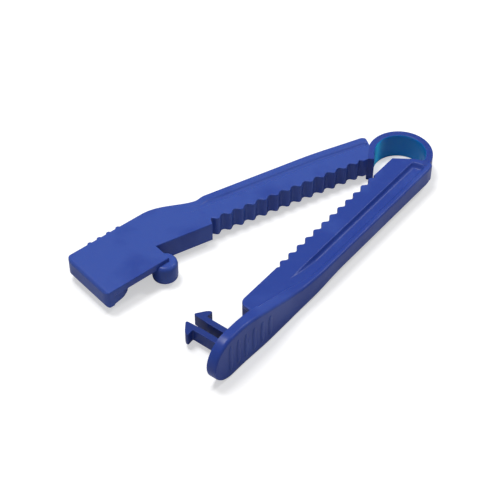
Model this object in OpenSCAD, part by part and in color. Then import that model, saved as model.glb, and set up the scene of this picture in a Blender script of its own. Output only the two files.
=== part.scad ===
// Locking clip: one plastic moulding with a C-shaped spring loop, two arms
// with serrated jaws, a latch receiver on one arm and a barbed fork on the
// other. Millimetres. Z is the axis of the spring loop. X runs from the loop
// to the finger ends, along the line halfway between the open arms.
// Y points to the arm that carries the fork. Drawn open, as it is moulded.

/* [Opening] */
// Half of the angle between the two open arms (degrees)
half_open = 11.1; // [9:0.1:11.1]
// Distance of the hinge line behind the middle line of the jaws' crossing
pivot_back = 2.9; // [2.7:0.1:3]

/* [Spring loop] */
// Outer radius of the loop
loop_r = 5.25; // [5.15:0.05:5.3]
// Thickness of the loop wall
loop_wall = 1.15; // [1.05:0.05:1.2]
// Height of the loop along its axis, which is also the height of the rest face
loop_h = 4.5; // [4.4:0.1:4.7]

/* [Jaws] */
// Height of the jaw bars
jaw_h = 3.5; // [3.4:0.1:3.7]
// Distance from one tooth to the next
pitch = 2.1; // [2.09:0.01:2.11]
// Depth of the teeth
tooth_depth = 0.6; // [0.5:0.05:0.7]
// Number of teeth on the latch arm
catch_teeth = 13; // [10:1:13]
// Number of teeth on the fork arm
prong_teeth = 12; // [10:1:12]

/* [Beams] */
// Depth of the long recess between the fork arm's jaw and its rim
prong_recess = 0.75; // [0.4:0.05:1.0]
// Depth of the shallow recess on the latch arm
catch_recess = 0.35; // [0.2:0.05:0.6]
// Thickness of the outer rim
rim_t = 0.6; // [0.5:0.05:0.8]
// Height of the outer rim
rim_h = 3.2; // [3.0:0.1:3.4]

/* [Latch receiver] */
// Thickness of the roof plate
roof_t = 1.3; // [1.1:0.05:1.35]
// Height of the end wall, roof included
end_wall_h = 3.2; // [2.9:0.1:3.3]
// Height of the finger ribs
rib_h = 0.28; // [0.1:0.02:0.3]

/* [Fork arm] */
// Height of the finger paddle
paddle_h = 7.9; // [7.6:0.1:8.1]
// Thickness of the finger paddle
paddle_t = 1.6; // [1.4:0.05:1.7]
// Thickness of one prong
prong_t = 0.95; // [0.85:0.05:1.0]
// Reach of a barb past the side of its prong
barb = 1.2; // [1.1:0.05:1.25]
// Height of the fork along Z
fork_h = 2.2; // [2.0:0.05:2.25]

/* [Hidden] */
$fa = 4;
$fs = 0.2;

blue = [0.16, 0.25, 0.62];

top_z = loop_h / 2;                  // top face of jaws, roof and loop
floor_z = -loop_h / 2;               // rest face
eye_r = loop_r - loop_wall;

loop_x = 0.35;                       // middle of the loop, from the arms' own origin
loop_y = 0.77;
loop_end = 38;                       // where the loop ends against the fork arm
strap_turn = 47;                     // where the loop turns into its strap
strap_len = 2.2;
free_r = 2;                          // the middle of the eye is kept free

tip_y = 0.3;                         // tooth tips past the meeting line
jaw_back = 3.0;                      // back of a jaw bar

catch_tip0 = 10.7;                   // first tooth of each row
prong_tip0 = catch_tip0 + pitch / 2;
catch_smooth_y = 0.9;                // plain end of the latch arm's jaw
catch_jaw_end = 46.9;

head_x0 = 43.4;                      // receiver, in the open clip's own axes
head_x1 = 55.0;
head_y0 = -15.2;
head_y1 = -4.94;
end_wall_t = 1.3;
finger_wall_t = 1.4;
rib_x0 = 45.3;
rib_pitch = 1.75;
guide_r = 2.0;                       // rounded guide nose on the heel wall
guide_x = 43.9;
guide_y = -5.44;
ledge_x = 44.8;                      // face of the ledge behind which the heel prong hooks
pocket_x = 44.05;
nose_x = 49.55;                      // face of the nose behind which the tip prong hooks
guide_top = 0.7;
guide_bottom = 4.0;

pad_inner = 3.9;                     // inner face of the paddle
pad_end_x = 53.4;                    // middle of the paddle's round end
fork_x = 51.0;                       // middle line of the fork
fork_gap = 1.5;                      // free width between the prongs
fork_root = 2.7;
fork_tip = -4.5;
fork_z = top_z - roof_t - 0.1;       // top of the fork
nook_x = 44.85;                      // the jaw is cut back here, to clear the guide nose
nook_top = 0.6;

function ease(t) = let (u = min(1, max(0, t))) u * u * (3 - 2 * u);
function mix(a, b, t) = a + (b - a) * t;
function arc(cx, cy, r, a0, a1, n) =
    [for (i = [0 : n]) let (a = a0 + (a1 - a0) * i / n)
        [cx + r * cos(a), cy + r * sin(a)]];

// a row of teeth: tips at x0, x0 + pitch, ... reaching s * tip_y
function teeth(x0, count, s) =
    [for (i = [0 : count - 1]) for (k = [0 : 3]) let (
        x = x0 + i * pitch + [-pitch / 2 + 0.14, -0.12, 0.12, pitch / 2 - 0.14][k],
        y = (k == 0 || k == 3) ? tip_y - tooth_depth : tip_y)
        [x, s * y]];

module in_catch_arm() {
    translate([-pivot_back, 0, 0]) rotate(-half_open) children();
}

module in_prong_arm() {
    translate([-pivot_back, 0, 0]) rotate(half_open) children();
}

// measures from the middle of the loop
module from_eye() {
    translate([-loop_x, -loop_y, 0]) children();
}

// a flat shape in plan, h high, with its upper face at z
module slab(z, h) {
    translate([0, 0, z - h]) linear_extrude(h) children();
}

// a shape drawn in x and z, spread across y from y0 to y1
module across(y0, y1) {
    translate([0, y1, 0]) rotate([90, 0, 0]) linear_extrude(y1 - y0) children();
}

// ---------------------------------------------------------------- loop
// the C of the loop and the straight strap that joins it to the latch arm
module loop_plan() {
    translate([loop_x, loop_y]) {
        difference() {
            circle(loop_r);
            circle(eye_r);
            polygon([[0, 0], 9 * [cos(-strap_turn), sin(-strap_turn)],
                     [12, 0], 9 * [cos(loop_end), sin(loop_end)]]);
        }
        rotate(-strap_turn) translate([eye_r, -0.01]) square([loop_wall, strap_len]);
    }
}

module spring_loop() {
    color(blue) from_eye() slab(top_z, loop_h) loop_plan();
}

// ------------------------------------------------------------ latch arm
// outer edge of the latch arm, drawn along the arm
function catch_rim(x) = -4.75 - 0.65 * ease((x - 4) / 14);

// swelling from the arm's outer edge to the side of the receiver
function flare(x) = mix(-11.95 - 0.16 * (x - 31.8), head_y0, ease((x - 32.3) / 8.4));

// a point of the latch arm, turned into the open clip's own axes
function on_catch(x, y) = [x * cos(half_open) + y * sin(half_open) - pivot_back,
                           y * cos(half_open) - x * sin(half_open)];

// where the back of the latch arm's jaw meets the receiver
catch_back_y = -(jaw_back + (head_x0 + pivot_back) * sin(half_open)) / cos(half_open);

module catch_beam_plan() {
    n = 14;
    polygon(concat(
        [for (i = [0 : n]) let (x = mix(6.0, 34.0, i / n)) on_catch(x, catch_rim(x))],
        [for (i = [0 : n]) let (x = mix(31.5, head_x0, i / n)) [x, flare(x)]],
        [[head_x0, catch_back_y], on_catch(6.4, -jaw_back)]));
}

// side view of a pair of long recesses, one in each face of an arm, from x0 to x1
module recess_side(x0, x1, depth) {
    polygon([[x0, top_z + 1], [x0, top_z], [x0 + 0.8, top_z - depth], [x1, top_z - depth],
             [x1 + 6, top_z], [x1 + 6, top_z + 1]]);
    under = top_z - rim_h;
    polygon([[x0, under - 1], [x0, under], [x0 + 0.8, under + depth], [x1, under + depth],
             [x1 + 3, under], [x1 + 3, under - 1]]);
}

module catch_beam() {
    color(blue) from_eye() difference() {
        slab(top_z, rim_h) catch_beam_plan();
        slab(top_z + 1, loop_h + 2) loop_plan();
        in_catch_arm() intersection() {
            across(-9, -jaw_back) recess_side(6.8, 33, catch_recess);
            slab(top_z + 2, loop_h + 4) polygon(concat(
                [for (i = [0 : 14]) let (x = mix(6.6, 42, i / 14))
                    [x, catch_rim(x) + rim_t - 0.35 * ease((x - 34) / 8)]],
                [[42, 0], [6.6, 0]]));
        }
    }
}

module catch_jaw_plan() {
    row = teeth(catch_tip0, catch_teeth, 1);
    last = catch_tip0 + (catch_teeth - 0.5) * pitch;
    polygon(concat(
        [[6.7, -jaw_back], [6.7, -2.6]],
        arc(8.45, -1.0, 1.2, 180, 90, 6),
        [[catch_tip0 - pitch / 2 + 0.1, 0.22]],
        row,
        [[last + 0.35, catch_smooth_y], [catch_jaw_end, catch_smooth_y],
         [catch_jaw_end + 1, -jaw_back]]));
}

module catch_jaw() {
    color(blue) from_eye() difference() {
        in_catch_arm() slab(top_z, jaw_h) catch_jaw_plan();
        slab(top_z + 1, 9) translate([head_x0, -20]) square([6, 20]);
        slab(top_z + 1, loop_h + 2) loop_plan();
    }
}

// ------------------------------------------------------ latch receiver
// small upright ribs along the side that the finger presses
function finger_ribs() =
    [for (i = [3 : -1 : 0]) each arc(rib_x0 + rib_pitch * i, head_y0 + 0.12, 0.12 + rib_h,
                                     -18, -162, 8)];

module roof_plan() {
    c = 1.0;
    polygon(concat(
        [[head_x0, head_y1], [head_x1, head_y1]],
        arc(head_x1 - c, head_y0 + c, c, 0, -90, 6),
        finger_ribs(),
        [[head_x0, head_y0]]));
}

module latch_roof() {
    color(blue) from_eye() slab(top_z, roof_t) roof_plan();
}

module end_wall_plan() {
    polygon([[head_x1, head_y1 - 0.25], [head_x1 - 0.25, head_y1], [head_x1 - 1.2, head_y1],
             [51.7, -5.35], [50.35, -6.1], [49.75, -7.2], [nose_x, -8.4], [nose_x, -9.9],
             [head_x1 - end_wall_t, -10.2], [head_x1 - end_wall_t, head_y0 + finger_wall_t],
             [head_x1, head_y0 + finger_wall_t]]);
}

module latch_end_wall() {
    color(blue) from_eye() slab(top_z - roof_t, end_wall_h - roof_t) end_wall_plan();
}

module heel_wall_plan() {
    difference() {
        union() {
            translate([guide_x, guide_y]) circle(guide_r);
            polygon([[head_x0 + 0.1, guide_y], [ledge_x, guide_y], [ledge_x, -9.1],
                     [pocket_x, -9.35], [pocket_x, head_y0 + finger_wall_t],
                     [head_x0 + 0.1, head_y0 + finger_wall_t]]);
        }
        translate([ledge_x, -9]) square([4, 2.9]);
        translate([40, -9]) square([head_x0 + 0.1 - 40, 2.9]);
    }
}

module latch_heel_wall() {
    color(blue) from_eye() difference() {
        union() {
            slab(top_z - roof_t, guide_bottom - roof_t) heel_wall_plan();
            difference() {
                slab(top_z - guide_top, roof_t - guide_top + 0.01)
                    translate([guide_x, guide_y]) circle(guide_r);
                slab(top_z + 1, 9) roof_plan();
            }
        }
        in_catch_arm() slab(top_z + 1, 9) catch_jaw_plan();
    }
}

module finger_wall_side() {
    r = 2.2;
    polygon(concat(
        [[head_x0, top_z - roof_t], [head_x0, top_z - rim_h], [head_x0 + 1.6, floor_z]],
        [[head_x1 - 1.9 - r, floor_z]],
        arc(head_x1 - 1.9 - r, floor_z + r, r, -80, 0, 8),
        [[head_x1 - 1.0, top_z - end_wall_h], [head_x1 - 0.6, top_z - roof_t]]));
}

module catch_finger_wall() {
    y1 = head_y0 + finger_wall_t;
    color(blue) from_eye() intersection() {
        across(head_y0 - 1, y1) finger_wall_side();
        slab(top_z, loop_h + 1) polygon(concat([[head_x0 - 1, y1], [head_x1 + 1, y1],
            [head_x1 + 1, head_y0]], finger_ribs(), [[head_x0 - 1, head_y0]]));
    }
}

// ------------------------------------------------------------- fork arm
// outer edge of the fork arm, drawn along the arm
function prong_rim(x) =
    pad_inner + paddle_t + 0.6 - 0.35 * ease((x - 32) / 8) - 0.25 * ease((x - 45) / 7);

module prong_beam_plan() {
    n = 14;
    outer = [for (i = [0 : n]) let (x = mix(4.3, 38, i / n)) [x, prong_rim(x)]];
    polygon(concat([[1.9, 4.4], [2.3, 5.2], [2.8, 5.9]], outer, [[38, jaw_back], [3.6, jaw_back],
        [2.0, 3.6]]));
}

module prong_beam() {
    color(blue) from_eye() difference() {
        in_prong_arm() slab(top_z, rim_h) prong_beam_plan();
        in_prong_arm() intersection() {
            across(jaw_back, 9) recess_side(4.2, 31, prong_recess);
            slab(top_z + 2, loop_h + 4) polygon(concat(
                [for (i = [0 : 14]) let (x = mix(4.1, 42, i / 14)) [x, prong_rim(x) - rim_t]],
                [[42, 0], [4.1, 0]]));
        }
        translate([loop_x, loop_y, 0]) cylinder(r = loop_r, h = 9, center = true);
    }
}

module prong_jaw_plan() {
    row = teeth(prong_tip0, prong_teeth, -1);
    last = prong_tip0 + (prong_teeth - 0.5) * pitch;
    polygon(concat(
        [[3.2, jaw_back], [5.4, -0.1], [prong_tip0 - pitch / 2, -0.1]],
        row,
        [[last + 0.3, 0.05]],
        arc(44.0, 1.45, 1.4, -90, 0, 6),
        [[45.4, 2.1], [45.95, 2.3], [45.95, jaw_back]]));
}

// free space for the guide nose under the end of the fork arm's jaw
module nook() {
    in_prong_arm() slab(top_z - nook_top, 9) translate([nook_x, -3]) square([3, pad_inner + 3]);
}

module prong_jaw() {
    color(blue) from_eye() difference() {
        in_prong_arm() slab(top_z, jaw_h) prong_jaw_plan();
        nook();
        translate([loop_x, loop_y, 0]) cylinder(r = free_r, h = 9, center = true);
        slab(top_z + 1, loop_h + 2) loop_plan();
    }
}

// lower edge of the rim and of the paddle, which it becomes
function low_edge(x) = mix(top_z - rim_h, floor_z, ease((x - 27) / 14));

// side view of the paddle: it grows out of the rim and ends in a half round
module paddle_side() {
    r = paddle_h / 2;
    zc = floor_z + r;
    polygon(concat(
        [for (i = [0 : 12]) let (x = mix(38.0, pad_end_x, i / 12))
            [x, mix(top_z, floor_z + paddle_h, ease((x - 35.5) / 16))]],
        arc(pad_end_x, zc, r, 80, -90, 20),
        [for (i = [5 : -1 : 0]) let (x = 38 + 0.6 * i) [x, low_edge(x)]]));
}

module finger_paddle() {
    rim_out = prong_rim(36);
    end_x = pad_end_x + paddle_h;
    color(blue) from_eye() difference() {
        in_prong_arm() union() {
            intersection() {
                across(pad_inner, pad_inner + 3) paddle_side();
                slab(paddle_h, 2 * paddle_h) polygon(concat(
                    [for (i = [0 : 12]) let (x = mix(37.9, end_x, i / 12)) [x, prong_rim(x)]],
                    [[end_x, pad_inner], [37.9, pad_inner]]));
            }
            across(rim_out - rim_t, rim_out) polygon(concat(
                [for (i = [0 : 10]) let (x = 27.6 + i) [x, low_edge(x)]],
                [[38.2, low_edge(38)], [38.2, top_z - rim_h], [27.6, top_z - rim_h]]));
            for (i = [0 : 5]) {
                translate([45.2 + 1.75 * i, prong_rim(45.2 + 1.75 * i) - 0.14, floor_z + 1.1])
                    cylinder(r = 0.22, h = 4.6 + 0.25 * i, $fn = 24);
            }
            slab(top_z, jaw_h) polygon([[38, jaw_back], [45.95, jaw_back],
                [45.95, pad_inner + 0.1], [38, pad_inner + 0.1]]);
        }
        nook();
    }
}

// middle of a prong's round root, where it bends
root_x = fork_gap / 2 + prong_t / 2;

module fork_base() {
    w = fork_gap + 2 * prong_t + 0.3;
    color(blue) from_eye() in_prong_arm() difference() {
        slab(fork_z, fork_h + 0.2) translate([fork_x - w / 2, fork_root])
            square([w, pad_inner - fork_root]);
        for (s = [-1, 1]) {
            translate([fork_x + s * root_x, fork_root, 0])
                cylinder(r = prong_t / 2 + 0.02, h = 9, center = true, $fn = 48);
        }
    }
}

// one prong: s is 1 for the finger side and -1 for the loop side
module prong(s) {
    a = fork_gap / 2;
    b = a + prong_t;
    color(blue) from_eye() in_prong_arm() translate([fork_x, 0, 0]) union() {
        translate([s * root_x, fork_root, fork_z - fork_h])
            cylinder(r = prong_t / 2, h = fork_h, $fn = 48);
        slab(fork_z, fork_h) polygon([
            [s * a, fork_root], [s * b, fork_root], [s * b, -2.65], [s * (b + barb), -2.5],
            [s * (b + barb), -3.35], [s * (b + barb - 0.2), -3.6], [s * (a + 0.4), fork_tip],
            [s * (a + 0.15), -4.3], [s * a, -1.6]]);
    }
}

module tip_prong() prong(1);

module heel_prong() prong(-1);

spring_loop();
catch_beam();
catch_jaw();
catch_finger_wall();
latch_roof();
latch_end_wall();
latch_heel_wall();
prong_beam();
prong_jaw();
finger_paddle();
fork_base();
tip_prong();
heel_prong();
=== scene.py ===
"""Looks of a one-piece locking clip: a satin blue moulding that lies open on its side.

Every skin is worked out in millimetres, in the place that it has on the open clip. An arm is
drawn straight, with x along it from the hinge line and y across it, and is then turned by half
of the opening angle."""

import bmesh
import bpy
import numpy as np
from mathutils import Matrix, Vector


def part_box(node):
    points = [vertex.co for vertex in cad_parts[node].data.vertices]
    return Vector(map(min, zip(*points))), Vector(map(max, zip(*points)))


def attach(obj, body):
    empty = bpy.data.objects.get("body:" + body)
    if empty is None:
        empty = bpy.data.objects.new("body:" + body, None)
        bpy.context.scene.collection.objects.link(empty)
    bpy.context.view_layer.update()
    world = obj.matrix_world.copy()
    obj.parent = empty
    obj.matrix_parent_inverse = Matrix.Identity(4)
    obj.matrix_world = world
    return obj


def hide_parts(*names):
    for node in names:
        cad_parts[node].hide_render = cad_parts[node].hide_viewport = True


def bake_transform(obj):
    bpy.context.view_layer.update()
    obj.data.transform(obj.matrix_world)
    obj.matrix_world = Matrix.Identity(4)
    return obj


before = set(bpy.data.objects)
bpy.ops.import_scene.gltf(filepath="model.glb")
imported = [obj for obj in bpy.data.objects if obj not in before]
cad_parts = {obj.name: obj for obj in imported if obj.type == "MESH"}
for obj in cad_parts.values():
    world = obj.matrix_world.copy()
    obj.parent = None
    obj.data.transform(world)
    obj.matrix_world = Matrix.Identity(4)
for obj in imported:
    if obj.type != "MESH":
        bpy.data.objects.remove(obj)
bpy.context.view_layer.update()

# ------------------------------------------------------------------ sizes
MM = 0.001


def box_mm(node):
    """The lowest and highest corner of a CAD node, in millimetres."""
    low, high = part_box(node)
    return np.array(low) / MM, np.array(high) / MM


loop_low, loop_high = box_mm("spring_loop")
roof_low, roof_high = box_mm("latch_roof")
heel_low, heel_high = box_mm("latch_heel_wall")
prong_low, prong_high = box_mm("tip_prong")
block_low, block_high = box_mm("fork_base")

TOP = loop_high[2]                          # level upper face of the loop and both arms
REST = loop_low[2]                          # the table
JAW_LOW = box_mm("catch_jaw")[0][2]         # lower edge of both jaw bars
RIM_LOW = box_mm("catch_beam")[0][2]        # lower edge of both rims
ROOF_LOW = roof_low[2]
END_LOW = box_mm("latch_end_wall")[0][2]

EDGE = 0.17                                 # rounding of the moulding's edges
SKIN = 0.012                                # how far the arms lie below the loop's top

# loop: angles in degrees about its middle, from the x axis
LOOP_R = -loop_low[0]
LOOP_WALL = 1.15
LOOP_EDGE = 0.24
LOOP_END = 97.0                             # where it meets the fork arm
STRAP_TURN = -47.0                          # where it goes over into the straight strap
STRAP_LENGTH = 2.2
EYE_BRIGHT = -72.0                          # where the painted light through its wall is brightest
EYE_SPREAD = 16.0

# both arms: a slant pairs the x of a cut's inner end with the x of its outer end
HALF_OPEN = np.radians(11.1)
HINGE = np.array([-3.25, -0.77])
PITCH = 2.1
CUT_STEP = PITCH / 14                       # distance between two sections of a jaw
TOOTH_DEPTH = 0.6
TIP_Y = 0.3                                 # how far the tips pass an arm's middle line
TIP_FLAT = 0.04                             # flat at a tip, to each side of it
VALLEY_FLAT = 0.10                          # and at a valley
JAW_BACK = 3.0                              # the recess starts this far across
LEAN = 0.35                                 # how far the walls of a recess lean
FLOOR_ROUND = 0.5                           # rounding at the foot of those walls
RECESS_FADE = 6.0                           # its floor rises over this length
UNDER_FADE = 3.0                            # and that of the one below, over this

# latch arm
CATCH_START = 7.85
CATCH_STOP = 45.9                           # its jaw's own cuts end here
CATCH_RIM_Y = -4.75                         # its outer edge at the loop
CATCH_SWELL = 0.65                          # and how much wider it gets from there
CATCH_TIP0 = 10.7
CATCH_TEETH = 13
CATCH_LEAD_Y = 0.21                         # the jaw's edge before its teeth
CATCH_PLAIN_Y = 0.9                         # and after them
CATCH_RECESS = 0.3
CATCH_RECESS_X = 8.3
CATCH_RECESS_END = 33.0
CATCH_RIM_T = 1.15
CATCH_ROUND = 0.25                          # rounding of its outer edges
LOBE_X = 8.7                                # round start of the jaw bar
LOBE_R = 0.9
CATCH_SLANT = ([CATCH_START, LOBE_X, 12, 50], [6.0, 6.4, 12, 50])
CORNER_X = 6.9                              # the outer corner is rounded up to here
CORNER_LONG = 0.9
CORNER_WIDE = 0.7
FLARE_X = 30.0                              # from here the cuts turn to the receiver's

# receiver, in the open clip's own x and y
FLARE_LINE = (31.45, -12.72, -0.16)         # a point before the flare, and the slope there
FLARE_JOIN = 30.4                           # here the arm's outer edge goes over into it
HEAD_X0 = roof_low[0]
HEAD_X1 = roof_high[0]
RIB_R = 0.4
RIB_SUNK = 0.12                             # depth of the ribs' axes in the wall
RIB_X = 44.95
RIB_PITCH = 1.75
RIB_COUNT = 4
HEAD_Y0 = roof_low[1] + RIB_R - RIB_SUNK
HEAD_Y1 = roof_high[1]
HEAD_CORNER = 1.0                           # outer corner, along x
HEAD_CORNER_Y = 0.9
POCKET_CORNER = 0.5
END_EDGE = 0.6                              # rounding around the finger end
WALL_T = 1.4
WALL_START = TOP - 3.2                      # lower edge of the finger wall, at the loop side
WALL_SLOPE = 1.6                            # from there it drops to the table over this length
WALL_ROUND = 2.2                            # and ends in a round corner
WALL_END = HEAD_X1 - 1.9
END_WALL_T = 1.3
GUIDE_R = 2.0
GUIDE = np.array([heel_low[0] + GUIDE_R, heel_high[1] - GUIDE_R])
LEDGE_X = 44.45                             # the ledge that the heel prong hooks behind
POCKET_X = 43.7                             # the heel wall's face behind that ledge
NOSE_X = 49.2                               # the end wall's nose

# fork arm
PRONG_START = 3.2
PRONG_SQUARE = 5.4                          # its inner edge follows the loop up to here
PRONG_STOP = 45.95                          # the end of the jaw's web
PRONG_RIM_Y = 6.1
PRONG_TIP0 = CATCH_TIP0 + PITCH / 2
PRONG_TEETH = 12
PRONG_LEAD_Y = -0.1
PRONG_PLAIN_Y = 0.05
PRONG_RECESS = 0.75
PRONG_RECESS_X = 4.2
PRONG_RECESS_END = 31.0
PRONG_RIM_T = 0.8
PRONG_SLANT = ([PRONG_START, PRONG_SQUARE, 9, 60], [1.9, 4.6, 9, 60])
SHOULDER = ([1.9, 2.3, 2.8, 4.3], [4.4, 5.2, 5.9, PRONG_RIM_Y])    # outer corner at the loop
JAW_CORNER_X = 44.0                         # round corner at the end of the jaw bar
JAW_CORNER = 1.4
STUB_X = 45.4                               # a web from here joins the jaw to the paddle
STUB_Y = 2.3
NOOK_X = 44.85                              # a thin plate from here, clear of the guide nose
NOOK_PLATE = 0.6

# paddle
PAD_INNER = 3.9
PAD_H = 7.9
PAD_RISE_X = 35.5                           # its upper edge rises from the rim from here on
PAD_RISE = 16.0
PAD_DROP_X = 27.0                           # and its lower edge drops from here on
PAD_DROP = 14.0
PAD_END_X = 53.4                            # middle of its round end
PAD_RIB_X = 45.2
PAD_RIBS = 6
PAD_RIB_HALF = 0.55
PAD_RIB_H = 0.3
PAD_RIB_SUNK = 0.16

# fork: x from its middle and y across the fork arm
FORK_X = 50.85
FORK_GAP = 1.25
FORK_ROOT = 2.7
FORK_TIP = -4.5
PRONG_T = 1.0
BARB = 1.2


def ease(t):
    """Smooth step from 0 to 1: three t squared less two t cubed, held flat outside."""
    u = np.clip(t, 0, 1)
    return u * u * (3 - 2 * u)


def rise(x, start, length):
    """Straight step from 0 at the start to 1 a length further on, held flat outside."""
    return np.clip((x - start) / length, 0, 1)


def quarter(t):
    """Fall of a quarter circle from 0 to 1: one less the root of one less t squared."""
    return 1 - np.sqrt(1 - np.clip(t, 0, 1) ** 2)


def mix(a, b, t):
    """Straight blend from a at t = 0 to b at t = 1."""
    return a + (b - a) * t


def on_arm(x, y, turn):
    """A point x along an arm and y across it, turned by the arm's angle about the hinge line."""
    x, y = np.broadcast_arrays(np.asarray(x, float), np.asarray(y, float))
    c, s = np.cos(turn), np.sin(turn)
    return np.stack([x * c - y * s + HINGE[0], x * s + y * c + HINGE[1]], -1)


# ------------------------------------------------------------- mesh making
def solid(name, rings, body, material, loose=()):
    """A closed skin over rings of points, shape (rings, points, 3): neighbours are joined by
    quads and the first and last ring are closed by a face. Loose holds more such skins."""
    verts, faces, start = [], [], 0
    for grid in [rings, *loose]:
        n, m = grid.shape[:2]
        index = np.arange(n * m).reshape(n, m) + start
        near, far = index[:-1], index[1:]
        quads = np.stack([near, np.roll(near, -1, 1), np.roll(far, -1, 1), far], -1)
        quads = quads.reshape(-1, 4)
        caps = np.stack([index[0][::-1], index[-1]])
        flat = grid.reshape(-1, 3)
        if signed_volume(flat, quads - start) < 0:
            quads, caps = quads[:, ::-1], caps[:, ::-1]
        verts.append(flat)
        faces += quads.tolist() + caps.tolist()
        start += n * m
    mesh = bpy.data.meshes.new(name)
    mesh.from_pydata((np.concatenate(verts) * MM).tolist(), [], faces)
    mesh.validate()
    merge_and_smooth(mesh)
    obj = bpy.data.objects.new(name, mesh)
    bpy.context.scene.collection.objects.link(obj)
    mesh.materials.append(material)
    even = obj.modifiers.new("flat_faces_stay_flat", "WEIGHTED_NORMAL")
    even.weight = 90
    even.keep_sharp = True
    if body:
        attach(obj, body)
    return obj


def signed_volume(flat, quads):
    """Volume, times a factor, under the side faces of a skin about its middle. It is negative
    where they point inwards."""
    p = flat - flat.mean(0)
    a, b, c, d = (p[quads[:, k]] for k in range(4))
    return np.einsum("ij,ij->", a, np.cross(b, c)) + np.einsum("ij,ij->", a, np.cross(c, d))


def merge_and_smooth(mesh):
    """Merges points that fall together, and shades smooth up to a 50 degree edge."""
    work = bmesh.new()
    work.from_mesh(mesh)
    bmesh.ops.remove_doubles(work, verts=work.verts, dist=2e-6)
    bmesh.ops.dissolve_degenerate(work, edges=work.edges, dist=1e-6)
    work.to_mesh(mesh)
    work.free()
    mesh.shade_smooth()
    mesh.set_sharp_from_angle(angle=np.radians(50))


def fillets(corners, radius, count):
    """Rounds the corners of closed outlines, shape (..., corners, 2): each corner becomes a
    quadratic curve that leaves its two sides at the radius, or at 0.45 of a shorter side."""
    reach = np.broadcast_to(radius, corners.shape[:-1])[..., None]

    def leave(side):
        length = np.maximum(np.linalg.norm(side, axis=-1, keepdims=True), 1e-9)
        return corners + side * np.minimum(reach / length, 0.45)

    a = leave(np.roll(corners, 1, -2) - corners)
    b = leave(np.roll(corners, -1, -2) - corners)
    t = np.linspace(0, 1, count)[:, None]
    curve = ((1 - t) ** 2 * a[..., None, :] + 2 * t * (1 - t) * corners[..., None, :]
             + t ** 2 * b[..., None, :])
    return curve.reshape(*corners.shape[:-2], -1, 2)


def slab(outline, low, high, radius=EDGE):
    """A plate over a closed outline (points, 2) from low to high. Its rings follow a quarter
    circle at both faces: the inset is r less r sin a, and the height r less r cos a."""
    ahead = np.roll(outline, -1, 0) - outline
    ahead /= np.maximum(np.linalg.norm(ahead, axis=1, keepdims=True), 1e-9)
    normal = np.stack([ahead[:, 1], -ahead[:, 0]], 1)
    normal = normal + np.roll(normal, 1, 0)
    normal /= np.maximum((normal ** 2).sum(1, keepdims=True) / 2, 0.4)
    x, y = outline.T
    if (x * np.roll(y, -1) - y * np.roll(x, -1)).sum() < 0:
        normal = -normal
    a = np.radians(np.array([0, 30, 60, 90]))
    inset = radius * np.r_[1 - np.sin(a), (1 - np.sin(a))[::-1]]
    z = np.r_[low + radius * (1 - np.cos(a)), (high - radius * (1 - np.cos(a)))[::-1]]
    plan = outline[None] - normal[None] * inset[:, None, None]
    return with_height(plan, z[:, None, None])


def with_height(plan, z):
    """Points (..., 2) in plan, with a height for each that is spread over the rest."""
    return np.concatenate([plan, np.broadcast_to(z, plan.shape[:-1] + (1,))], -1)


# ------------------------------------------------------------------- arms
# which way the twelve corners of a section move when it is drawn in
IN_SIGN = np.array([1, -1, -1, 1, 1, -1, -1, 1, 1, -1, -1, 1])
UP_SIGN = np.array([-1, -1, -1, -1, -1, -1, 1, 1, 1, 1, 1, 1])


def arm_skin(inner, outer, back, groove, top, fin, dip, low_in, low_out, under, inset, bow,
             rim_round):
    """The skin of an arm. Every section is a straight cut from a point of its inner edge to one
    of its outer edge. Across the cut lie the jaw bar, a recess of depth dip, and the rim, whose
    top is fin; below, the jaw ends at low_in, the rim at low_out, and the recess at under. Back
    and groove say how far across, from 0 to 1, the recess starts and ends, and its walls lean
    inwards. Inset draws the whole section in at the arm's ends. Bow bends a cut sideways by the
    sine of half a turn, so that the arm's end can follow the loop. Rim_round is the rounding of
    the rim's edges."""
    across = outer - inner
    width = np.linalg.norm(across, axis=1)
    b, g, zero = back * width, groove * width, np.zeros(len(width))
    lean = np.minimum(LEAN * ease(dip / 0.2), 0.48 * (g - b))
    s = np.stack([zero, b, b + lean, g - lean, g, width, width, g, g, b, b, zero], 1)
    z = np.stack([top, top, top - dip, top - dip, fin, fin, low_out, low_out, under, under,
                  low_in, low_in], 1)
    s = s + IN_SIGN * inset[:, None]
    z = z + UP_SIGN * inset[:, None]
    radius = np.full(s.shape, EDGE)
    radius[:, 2:4] = FLOOR_ROUND
    radius[:, 4] = 0.9 * rim_round      # a little less, so that no two sections' points meet
    radius[:, 5:7] = rim_round[:, None]
    ring = fillets(np.stack([s, z], -1), radius, 5)
    direction = across / np.maximum(width, 1e-9)[:, None]
    plan = inner[:, None] + direction[:, None] * ring[..., :1]
    aside = np.stack([direction[:, 1], -direction[:, 0]], 1)
    share = np.sin(np.pi * np.clip(ring[..., :1] / width[:, None, None], 0, 1))
    plan = plan + aside[:, None] * (bow[:, None, None] * share)
    return np.concatenate([plan, ring[..., 1:]], -1)


def sunk(rings):
    """Rings lowered by SKIN, but not below the clip's lowest face."""
    rings = rings - [0, 0, SKIN]
    return np.concatenate([rings[..., :2], np.maximum(rings[..., 2:], REST)], -1)


def tooth_row(x, tip):
    """Edge of a row of rounded teeth, by any one tip's place: TIP_Y at each tip, less
    TOOTH_DEPTH at each valley, and a smooth step of the distance to the nearest tip."""
    far = np.abs((x - tip + PITCH / 2) % PITCH - PITCH / 2)
    return TIP_Y - TOOTH_DEPTH * ease((far - TIP_FLAT) / (PITCH / 2 - TIP_FLAT - VALLEY_FLAT))


def rounded_start(x, first):
    """Inset of the first sections: a quarter circle of the edge's radius."""
    return EDGE * quarter(1 - rise(x, first, EDGE))


def catch_rim(x):
    """Outer edge of the latch arm, along the arm: it widens by a smooth step."""
    return CATCH_RIM_Y - CATCH_SWELL * ease((x - 4) / 14)


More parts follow.
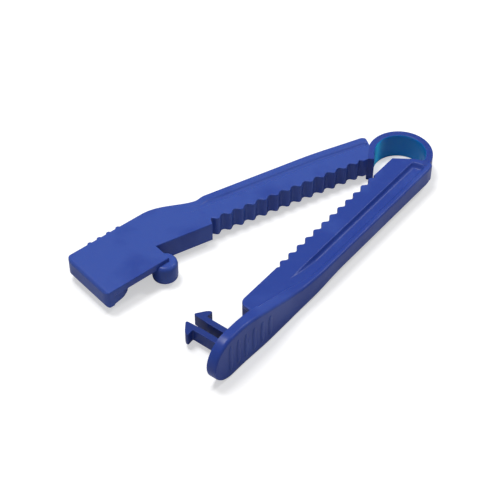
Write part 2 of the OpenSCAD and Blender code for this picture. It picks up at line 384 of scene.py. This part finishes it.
def flare(x):
    """Swelling from the latch arm's outer edge to the side of the receiver: a smooth step from
    a slanting line to a level one."""
    start_x, start_y, slope = FLARE_LINE
    line = start_y + slope * (x - start_x)
    return mix(line, HEAD_Y0, ease((x - start_x - 0.5) / 8.4))


def outer_edge_at(x):
    """The latch arm's outer edge as a height over the open clip's own x."""
    s = np.linspace(20, 40, 80)
    edge = on_arm(s, catch_rim(s), -HALF_OPEN)
    return np.interp(x, edge[:, 0], edge[:, 1])


def catch_jaw_edge(x, lobe_y):
    """Inner edge of the latch arm: a corner and a round lobe, then the teeth, which grow out of
    a straight lead by a smooth step, and then the plain end."""
    last = CATCH_TIP0 + (CATCH_TEETH - 0.5) * PITCH
    y = np.r_[-0.8, lobe_y, np.full(len(x) - len(lobe_y) - 1, CATCH_LEAD_Y)]
    y = mix(y, tooth_row(x, CATCH_TIP0), ease((x - 9.2) / 0.8))
    return np.where(x > last, mix(TIP_Y - TOOTH_DEPTH, CATCH_PLAIN_Y, rise(x, last, 0.35)), y)


def catch_outer_edge(x, x_end):
    """Outer ends of the latch arm's cuts: aslant near the loop, with a rounded corner. From
    FLARE_X on they are spread evenly up to the receiver, and go over into the flare."""
    x_out = np.interp(x, *CATCH_SLANT)
    corner = CORNER_WIDE * quarter((CORNER_X - x_out) / CORNER_LONG)
    plain = on_arm(x_out, catch_rim(x_out) + corner, -HALF_OPEN)
    start_x = on_arm(FLARE_X, catch_rim(FLARE_X), -HALF_OPEN)[0]
    flare_x = mix(start_x, HEAD_X0, rise(x, FLARE_X, x_end - FLARE_X))
    flare_y = mix(outer_edge_at(flare_x), flare(flare_x), ease((flare_x - FLARE_JOIN) / 1.8))
    return np.where((x > FLARE_X)[:, None], np.stack([flare_x, flare_y], -1), plain)


def latch_arm_sections():
    """Latch arm and receiver: sections across the arm turn into sections across the roof."""
    lobe = np.radians(np.linspace(180, 90, 18))
    lobe_y = CATCH_LEAD_Y - LOBE_R + LOBE_R * np.sin(lobe)
    # the plain end of the jaw runs on to the receiver's edge
    x_end = (HEAD_X0 - HINGE[0] - CATCH_PLAIN_Y * np.sin(HALF_OPEN)) / np.cos(HALF_OPEN)
    x = np.r_[CATCH_START, LOBE_X + LOBE_R * np.cos(lobe),
              np.arange(LOBE_X + 0.1, CATCH_STOP, CUT_STEP), x_end]
    y = catch_jaw_edge(x, lobe_y)
    inner, outer = on_arm(x, y, -HALF_OPEN), catch_outer_edge(x, x_end)
    width = np.linalg.norm(outer - inner, axis=1)
    back = np.clip((y + JAW_BACK) / width, 0, 1)
    depth = CATCH_RECESS * rise(x, CATCH_RECESS_X, 0.3)
    floor = depth * (1 - rise(x, CATCH_RECESS_END, RECESS_FADE))
    under_floor = depth * (1 - rise(x, CATCH_RECESS_END, UNDER_FADE))
    full = np.ones(len(x))
    arm = dict(
        inner=inner, outer=outer, back=back, groove=np.maximum(1 - CATCH_RIM_T / width, back),
        top=full * TOP, fin=full * TOP, dip=floor, low_in=full * JAW_LOW,
        low_out=full * RIM_LOW, under=RIM_LOW + under_floor,
        inset=rounded_start(x, CATCH_START), bow=0.35 * ease((11 - x) / 3),
        rim_round=full * CATCH_ROUND)
    roof = roof_sections()
    return {name: np.concatenate([values, roof[name]]) for name, values in arm.items()}


def roof_sections():
    """Sections of the receiver: the roof plate with the ribbed finger wall hanging from its
    outer edge, then the full height of the end wall, with a round corner at the finger end."""
    wall_x = HEAD_X1 - END_WALL_T
    corner_x = HEAD_X1 - HEAD_CORNER
    turn = np.radians(np.linspace(0, 90, 9)[1:])
    plate = np.linspace(HEAD_X0, wall_x, 120)
    x = np.r_[plate, np.linspace(wall_x, corner_x, 6), corner_x + HEAD_CORNER * np.sin(turn)]
    walled = np.arange(len(x)) >= len(plate)
    y_out = HEAD_Y0 + HEAD_CORNER_Y * quarter((x - corner_x) / HEAD_CORNER) - rib_bumps(x)
    y_in = HEAD_Y1 - POCKET_CORNER * quarter((x - HEAD_X1) / POCKET_CORNER + 1)
    low = np.where(walled, END_LOW, ROOF_LOW)
    full = np.ones(len(x))
    return dict(
        inner=np.stack([x, y_in], 1), outer=np.stack([x, y_out], 1), back=full * 0.4,
        groove=1 - WALL_T / (y_in - y_out), top=full * TOP, fin=full * TOP, dip=full * 0,
        low_in=low, low_out=np.where(walled, END_LOW, np.minimum(finger_wall_low(x), END_LOW)),
        under=low, inset=END_EDGE * quarter((x - HEAD_X1) / END_EDGE + 1), bow=full * 0,
        rim_round=full * CATCH_ROUND)


def rib_bumps(x):
    """Round ribs on the finger side of the receiver: the root of the radius squared less the
    distance to the nearest rib squared, less the part that is sunk in the wall."""
    number = np.clip(np.round((x - RIB_X) / RIB_PITCH), 0, RIB_COUNT - 1)
    centre = RIB_X + RIB_PITCH * number
    return np.sqrt(np.maximum(RIB_R ** 2 - (x - centre) ** 2, RIB_SUNK ** 2)) - RIB_SUNK


def finger_wall_low(x):
    """Lower edge of the finger wall: a slope at the loop side, and a round finger end."""
    start = WALL_END - WALL_ROUND
    slope = mix(WALL_START, REST, rise(x, HEAD_X0, WALL_SLOPE))
    return np.where(x < start, slope, REST + WALL_ROUND * quarter((x - start) / WALL_ROUND))


def prong_rim(x):
    """Outer edge of the fork arm, along the arm: it narrows by two smooth steps."""
    return PRONG_RIM_Y - 0.35 * ease((x - 32) / 8) - 0.25 * ease((x - 45) / 7)


def paddle_edges(x):
    """Upper and lower edge of the finger paddle: a slow rise, then a half circle."""
    r = PAD_H / 2
    fall = r * quarter((x - PAD_END_X) / r)
    slow = mix(TOP, REST + PAD_H, ease((x - PAD_RISE_X) / PAD_RISE))
    upper = np.minimum(slow, REST + PAD_H - fall)
    lower = mix(RIM_LOW, REST, ease((x - PAD_DROP_X) / PAD_DROP))
    return upper, np.where(x > PAD_END_X, REST + fall, lower)


def prong_jaw_edge(x, lead_y):
    """Inner edge of the fork arm: a lead along the loop, the teeth, a plain end with a round
    corner, and the web that carries the paddle."""
    first = PRONG_TIP0 - PITCH / 2
    last = PRONG_TIP0 + (PRONG_TEETH - 0.5) * PITCH
    y = np.r_[lead_y, np.full(len(x) - len(lead_y), PRONG_LEAD_Y)]
    y = np.where(x > first, -tooth_row(x, PRONG_TIP0), y)
    y = np.where(x > last, mix(TOOTH_DEPTH - TIP_Y, PRONG_PLAIN_Y, rise(x, last, 0.3)), y)
    corner = PRONG_PLAIN_Y + JAW_CORNER * quarter((x - JAW_CORNER_X) / JAW_CORNER)
    y = np.where(x > JAW_CORNER_X, corner, y)
    web = mix(STUB_Y - 0.2, STUB_Y, (x - STUB_X) / (PRONG_STOP - STUB_X))
    return np.where(x > STUB_X, web, y)


def fork_arm_sections():
    """Fork arm and finger paddle: the rim of the arm grows into the tall paddle, which goes on
    alone past the end of the jaw. The first cuts lie aslant, along the wall of the loop."""
    lead = np.linspace(0, 1, 14)
    jaw = np.r_[mix(PRONG_START, PRONG_SQUARE, lead),
                np.arange(PRONG_SQUARE + CUT_STEP, PRONG_STOP, CUT_STEP)]
    turn = np.radians(np.linspace(0, 90, 26)[:-1])
    paddle = np.r_[PRONG_STOP, np.linspace(46.0, PAD_END_X, 40)[:-1],
                   PAD_END_X + PAD_H / 2 * np.sin(turn), PAD_END_X + PAD_H / 2 - 0.002]
    # two cuts more lead from the web's end to the paddle's inner face
    x = np.r_[jaw, PRONG_STOP - 0.01, PRONG_STOP, paddle]
    x_out = np.interp(x, *PRONG_SLANT)
    y = np.r_[prong_jaw_edge(jaw, mix(3.0, PRONG_LEAD_Y, lead)), STUB_Y,
              np.full(len(paddle) + 1, PAD_INNER)]
    y_out = np.where(x_out < SHOULDER[0][-1], np.interp(x_out, *SHOULDER), prong_rim(x_out))
    alone = np.arange(len(x)) > len(jaw) + 1
    nook = x > NOOK_X
    rim = mix(PRONG_RIM_T, y_out - PAD_INNER, ease((x - 34) / 7))
    groove = np.where(alone, 0, 1 - rim / (y_out - y))
    depth = PRONG_RECESS * ease((x - PRONG_RECESS_X) / 0.9)
    floor = depth * (1 - rise(x, PRONG_RECESS_END, RECESS_FADE))
    under_floor = depth * (1 - rise(x, PRONG_RECESS_END, UNDER_FADE))
    under = RIM_LOW + under_floor - (RIM_LOW - JAW_LOW) * ease((x - 34) / 3)
    upper, lower = paddle_edges(x)
    plate = TOP - NOOK_PLATE
    return dict(
        inner=on_arm(x, y, HALF_OPEN), outer=on_arm(x_out, y_out, HALF_OPEN),
        back=np.where(alone, 0, np.clip((JAW_BACK - y) / (y_out - y), 0, groove)),
        groove=groove, top=np.where(alone, upper, TOP), fin=upper, dip=floor,
        low_in=np.where(alone, lower, np.where(nook, plate, JAW_LOW)), low_out=lower,
        under=np.where(alone, lower, np.where(nook, plate, under)),
        inset=rounded_start(x, PRONG_START), bow=0.3 * ease((PRONG_SQUARE - x) / 2),
        rim_round=mix(0.4, 0.55, ease((x - 26) / 16)))


# --------------------------------------------------------- smaller members
def loop_rings():
    """The loop: an upright bar section with round edges, carried along an arc and then along
    the straight strap."""
    r = LOOP_R - LOOP_WALL / 2
    a = np.radians(np.linspace(LOOP_END, 360 + STRAP_TURN, 120))
    arc = np.stack([np.cos(a), np.sin(a)], 1)
    ahead = np.array([-np.sin(a[-1]), np.cos(a[-1])])
    strap = r * arc[-1] + ahead * np.linspace(0.1, STRAP_LENGTH, 16)[:, None]
    path = np.concatenate([r * arc, strap])
    normal = np.concatenate([arc, np.repeat(arc[-1:], len(strap), 0)])
    u, v = LOOP_WALL / 2, (TOP - REST) / 2
    section = fillets(np.array([[u, -v], [u, v], [-u, v], [-u, -v]]), LOOP_EDGE, 6)
    plan = path[:, None] + normal[:, None] * section[None, :, :1]
    return with_height(plan, section[None, :, 1:] + (TOP + REST) / 2)


def mark_eye(mesh):
    """Sets the attribute "eye" of the loop's points, which marks where teal light through the
    wall is painted: 0.8 on its inner face, rising to 1 in a bell about EYE_BRIGHT, and 0 from 0.1
    mm further out."""
    place = np.empty(len(mesh.vertices) * 3)
    mesh.vertices.foreach_get("co", place)
    x, y = place.reshape(-1, 3)[:, :2].T / MM
    inside = ease((LOOP_R - LOOP_WALL + 0.1 - np.hypot(x, y)) / 0.09)
    bell = np.exp(-((np.degrees(np.arctan2(y, x)) - EYE_BRIGHT) / EYE_SPREAD) ** 2)
    eye = mesh.attributes.new("eye", "FLOAT", "POINT")
    eye.data.foreach_set("value", inside * (0.8 + 0.2 * bell))


def arc_points(centre, radius, start, stop, count):
    """Points of an arc, by its centre, radius and two angles in degrees."""
    a = np.radians(np.linspace(start, stop, count))
    return centre + radius * np.stack([np.cos(a), np.sin(a)], 1)


def end_nose_outline():
    """Sloped nose of the end wall in plan, in the open clip's own x and y. Its straight back
    lies inside the end wall."""
    back = HEAD_X1 - 0.5
    mouth_y = HEAD_Y1 - 0.06
    foot_y = -10.97
    corners = np.array([
        [back, mouth_y], [HEAD_X1 - 1.2, mouth_y], [51.35, -6.12], [50.0, -6.87],
        [49.4, -7.97], [NOSE_X, -9.17], [NOSE_X, -10.67], [HEAD_X1 - END_WALL_T, foot_y],
        [back, foot_y]])
    return fillets(corners, 0.5, 5)


def heel_wall_outline():
    """Heel wall in plan: a straight wall with the ledge, and the round guide nose."""
    nose = arc_points(GUIDE, GUIDE_R - 0.05, -55, 250, 70)
    wall_x = HEAD_X0 + 0.1
    foot_y = HEAD_Y0 + WALL_T - 0.1
    wall = np.array([[wall_x, -8.2], [wall_x, foot_y], [POCKET_X, foot_y],
                     [POCKET_X, -10.12], [LEDGE_X, -9.87], [LEDGE_X, -8.1]])
    return np.concatenate([nose, wall])


def prong_outline(side):
    """A barbed prong in plan, along the fork arm. Side is 1 at the fingers and -1 at the loop.
    Its straight sides carry points between the corners."""
    a = FORK_GAP / 2
    b = a + PRONG_T
    hook = b + BARB
    root = FORK_ROOT + 0.7
    corners = np.array([
        [a, root], [b, root], [b, FORK_ROOT], [b, 0.0], [b, -2.65], [hook, -2.55],
        [hook, -3.0], [hook - 0.45, -3.5], [a + 0.4, FORK_TIP], [a + 0.15, FORK_TIP + 0.2],
        [a, -1.6], [a, -0.6], [a, FORK_ROOT]])
    outline = fillets(corners, 0.22, 5)
    return on_arm(FORK_X + side * outline[:, 0], outline[:, 1], HALF_OPEN)


def fork_block_outline():
    """The block between the paddle and both prongs, in plan."""
    half = FORK_GAP / 2 + PRONG_T + 0.15
    foot = PAD_INNER + 0.4
    corners = np.array([[-half, foot], [-half, FORK_ROOT], [half, FORK_ROOT], [half, foot]])
    outline = fillets(corners, 0.2, 4)
    return on_arm(FORK_X + outline[:, 0], outline[:, 1], HALF_OPEN)


def paddle_rib(index):
    """A finger rib on the paddle: an upright bar of oval section. Its thickness is the root of
    one less the fourth power of the distance from its middle, so it tapers at both ends."""
    x = PAD_RIB_X + RIB_PITCH * index
    t = np.linspace(0, 1, 16)
    size = np.sqrt(np.clip(1 - (2 * t - 1) ** 4, 0.02, 1))[:, None]
    a = np.radians(np.arange(0, 360, 20))
    plan = on_arm(x + PAD_RIB_HALF * size * np.cos(a),
                  prong_rim(x) - PAD_RIB_SUNK + PAD_RIB_H * size * np.sin(a), HALF_OPEN)
    return with_height(plan, mix(REST + 1.1, REST + 5.7 + 0.25 * index, t)[:, None, None])


# -------------------------------------------------------------- materials
def noise(nodes, link, place, scale, detail):
    """Soft spots over a place in metres: how many to the metre, and in how many layers."""
    spots = nodes.new("ShaderNodeTexNoise")
    spots.inputs["Scale"].default_value = scale
    spots.inputs["Detail"].default_value = detail
    link(place, spots.inputs["Vector"])
    return spots.outputs["Fac"]


def spread(nodes, link, value, low, high, from_low=0.0, from_high=1.0):
    """A value between two ends, spread evenly from low to high."""
    span = nodes.new("ShaderNodeMapRange")
    span.inputs["From Min"].default_value = from_low
    span.inputs["From Max"].default_value = from_high
    span.inputs["To Min"].default_value = low
    span.inputs["To Max"].default_value = high
    link(value, span.inputs["Value"])
    return span.outputs["Result"]


def work_out(nodes, link, operation, first, second):
    """An operation on two values, of which the second may be a plain number."""
    result = nodes.new("ShaderNodeMath")
    result.operation = operation
    link(first, result.inputs[0])
    if isinstance(second, float):
        result.inputs[1].default_value = second
    else:
        link(second, result.inputs[1])
    return result.outputs["Value"]


def tint(nodes, link, value, low, low_colour, high, high_colour):
    """A colour that goes over from one to another as a value goes from low to high."""
    ramp = nodes.new("ShaderNodeValToRGB")
    first, last = ramp.color_ramp.elements
    first.position, first.color = low, (*low_colour, 1)
    last.position, last.color = high, (*high_colour, 1)
    link(value, ramp.inputs["Fac"])
    return ramp.outputs["Color"]


def relief(nodes, link, height, strength, depth, under=None):
    """A relief of a depth in metres, laid over the relief under it."""
    bump = nodes.new("ShaderNodeBump")
    bump.inputs["Strength"].default_value = strength
    bump.inputs["Distance"].default_value = depth
    link(height, bump.inputs["Height"])
    if under:
        link(under, bump.inputs["Normal"])
    return bump.outputs["Normal"]


def moulded_blue(name, body_colour, deep_colour, clear):
    """Satin, slightly translucent plastic: soft clouds of a deeper tone, a painted sheen that
    lightens the receiver's side, painted teal light on the faces that the attribute "eye" marks,
    a fine sparked-mould grain in the relief, and roughness that varies a little along the flow of
    the plastic."""
    mat = bpy.data.materials.new(name)
    mat.use_nodes = True
    nodes, link = mat.node_tree.nodes, mat.node_tree.links.new
    shader = nodes["Principled BSDF"]
    place = nodes.new("ShaderNodeTexCoord").outputs["Object"]

    # painted sheen: the tone is lighter on the receiver's side of the moulding, where a soft
    # reflection lies, and grows deeper towards the fork's
    split = nodes.new("ShaderNodeSeparateXYZ")
    link(place, split.inputs["Vector"])
    sheen_fade = spread(nodes, link, split.outputs["Y"], 0.0, 0.28, -0.009, 0.003)
    share = work_out(nodes, link, "SUBTRACT", noise(nodes, link, place, 160, 3), sheen_fade)
    tone = tint(nodes, link, share, 0.22, deep_colour, 0.5, body_colour)

    # painted light: teal light that comes through the thin wall is painted into the base colour,
    # on the faces that the attribute "eye" marks, and is bright cyan in its bell
    eye = nodes.new("ShaderNodeAttribute")
    eye.attribute_name = "eye"
    lit = tint(nodes, link, eye.outputs["Fac"], 0.8, (0.001, 0.25, 0.64), 1.0, (0.03, 0.62, 1.0))
    teal = nodes.new("ShaderNodeMix")
    teal.data_type = "RGBA"
    link(eye.outputs["Fac"], teal.inputs["Factor"])
    link(tone, teal.inputs["A"])
    link(lit, teal.inputs["B"])
    link(teal.outputs["Result"], shader.inputs["Base Color"])

    smear = noise(nodes, link, place, 420, 4)
    link(spread(nodes, link, smear, 0.26, 0.38), shader.inputs["Roughness"])
    grain = relief(nodes, link, noise(nodes, link, place, 5200, 2), 0.12, 0.00002)
    waves = relief(nodes, link, smear, 0.25, 0.00005, grain)
    link(waves, shader.inputs["Normal"])

    shader.inputs["IOR"].default_value = 1.49
    shader.inputs["Specular IOR Level"].default_value = 0.2
    shader.inputs["Subsurface Weight"].default_value = clear
    shader.inputs["Subsurface Radius"].default_value = (0.1, 0.4, 1.0)
    shader.inputs["Subsurface Scale"].default_value = 0.001
    return mat


blue = moulded_blue("satin_blue_plastic", (0.041, 0.084, 0.36), (0.024, 0.056, 0.30), 0.15)
# painted shade: a darker copy of the same blue for the fork's block and prongs, which lie low and
# in shade
painted_shade_blue = moulded_blue("painted_shade_blue_plastic", (0.023, 0.050, 0.26), (0.018, 0.042, 0.22), 0.15)
loop_blue = moulded_blue("loop_blue_plastic", (0.030, 0.064, 0.31), (0.024, 0.056, 0.28), 0.5)

# ----------------------------------------------------------------- pieces
latch_arm = solid("latch_arm_and_roof", sunk(arm_skin(**latch_arm_sections())), "catch_arm", blue)
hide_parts("catch_beam", "catch_jaw", "latch_roof", "catch_finger_wall")

end_nose = slab(end_nose_outline(), END_LOW + SKIN, ROOF_LOW + 0.4, 0.25)
end_wall = solid("latch_end_nose", end_nose, "catch_arm", blue)
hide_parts("latch_end_wall")

# the guide nose has a rounder top, as a post of its own around the wall's end
wall = slab(heel_wall_outline(), heel_low[2] + 0.1, ROOF_LOW + 0.2, 0.2)
post = slab(arc_points(GUIDE, GUIDE_R, 0, 354, 60), heel_low[2], ROOF_LOW + 0.6, 0.7)
heel_wall = solid("latch_heel_wall_skin", wall, "catch_arm", blue, loose=[post])
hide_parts("latch_heel_wall")

fork_arm = solid("fork_arm_and_paddle", sunk(arm_skin(**fork_arm_sections())), "prong_arm", blue,
                 loose=[paddle_rib(i) for i in range(PAD_RIBS)])
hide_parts("prong_beam", "prong_jaw", "finger_paddle")

# the fork's block and both prongs take the darker copy of the blue, which paints the shade they
# lie in
block = slab(fork_block_outline(), block_low[2], block_high[2])
fork_block = solid("fork_block", block, "prong_arm", painted_shade_blue)
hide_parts("fork_base")

for side, node in ((1, "tip_prong"), (-1, "heel_prong")):
    skin = slab(prong_outline(side), prong_low[2], prong_high[2], 0.09)
    prong = solid(node + "_skin", skin, None, painted_shade_blue)
    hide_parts(node)
    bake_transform(prong)

loop = solid("spring_loop_skin", loop_rings(), None, loop_blue)
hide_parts("spring_loop")
mark_eye(loop.data)
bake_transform(loop)


# ------------------------------------------------------------------ stage
def pale_floor(level):
    """A flat sheet under the clip, with an even light of its own where it is seen directly. It
    is white there, and keeps the clip's shadow."""
    half = 1.2
    mesh = bpy.data.meshes.new("floor")
    z = REST * MM
    mesh.from_pydata([(-half, -half, z), (half, -half, z), (half, half, z), (-half, half, z)],
                     [], [(0, 1, 2, 3)])
    floor = bpy.data.objects.new("floor", mesh)
    bpy.context.scene.collection.objects.link(floor)
    mat = bpy.data.materials.new("white_sheet")
    mat.use_nodes = True
    nodes, link = mat.node_tree.nodes, mat.node_tree.links.new
    shader = nodes["Principled BSDF"]
    shader.inputs["Base Color"].default_value = (0.62, 0.62, 0.62, 1)
    shader.inputs["Roughness"].default_value = 0.9
    shader.inputs["Specular IOR Level"].default_value = 0.1
    shader.inputs["Emission Color"].default_value = (1, 1, 1, 1)
    ray = nodes.new("ShaderNodeLightPath").outputs
    direct = work_out(nodes, link, "MAXIMUM", ray["Is Camera Ray"], ray["Is Transmission Ray"])
    link(work_out(nodes, link, "MULTIPLY", direct, level), shader.inputs["Emission Strength"])
    mesh.materials.append(mat)


def white_world(strength):
    """Even sky light, which is plain white where it is seen directly."""
    world = bpy.data.worlds.new("studio")
    bpy.context.scene.world = world
    world.use_nodes = True
    nodes, link = world.node_tree.nodes, world.node_tree.links.new
    background = nodes["Background"]
    background.inputs["Color"].default_value = (1, 1, 1, 1)
    ray = nodes.new("ShaderNodeLightPath").outputs
    seen = spread(nodes, link, ray["Is Camera Ray"], strength, 1.0)
    link(seen, background.inputs["Strength"])


def soft_lamp(name, place, target, size, power):
    """A square area lamp that faces its target."""
    data = bpy.data.lights.new(name, "AREA")
    data.size = size
    data.energy = power
    lamp = bpy.data.objects.new(name, data)
    lamp.location = place
    lamp.rotation_euler = (target - place).to_track_quat("-Z", "Y").to_euler()
    bpy.context.scene.collection.objects.link(lamp)


pale_floor(0.5)
white_world(0.32)
middle = Vector((0.0255, -0.002, 0))
# the key stands high on the latch arm's side, and the rim lamp behind the loop
soft_lamp("key", middle + Vector((0.04, -0.12, 0.48)), middle, 0.15, 1.6)
soft_lamp("rim", middle + Vector((-0.29, 0.06, 0.36)), middle, 0.08, 0.5)

# ----------------------------------------------------------------- camera
# it looks down on the clip over the paddle's end, from the fork arm's side
camera = bpy.data.objects.new("camera", bpy.data.cameras.new("camera"))
camera.data.lens = 101.07
camera.data.sensor_width = 36
camera.data.clip_start = 0.005
camera.location = (0.13030, 0.11308, 0.15074)
aim = Vector((0.03292, 0.00099, 0.00225))
camera.rotation_euler = (aim - camera.location).to_track_quat("-Z", "Y").to_euler()
bpy.context.scene.collection.objects.link(camera)
bpy.context.scene.camera = camera
bpy.context.scene.view_settings.view_transform = "Standard"
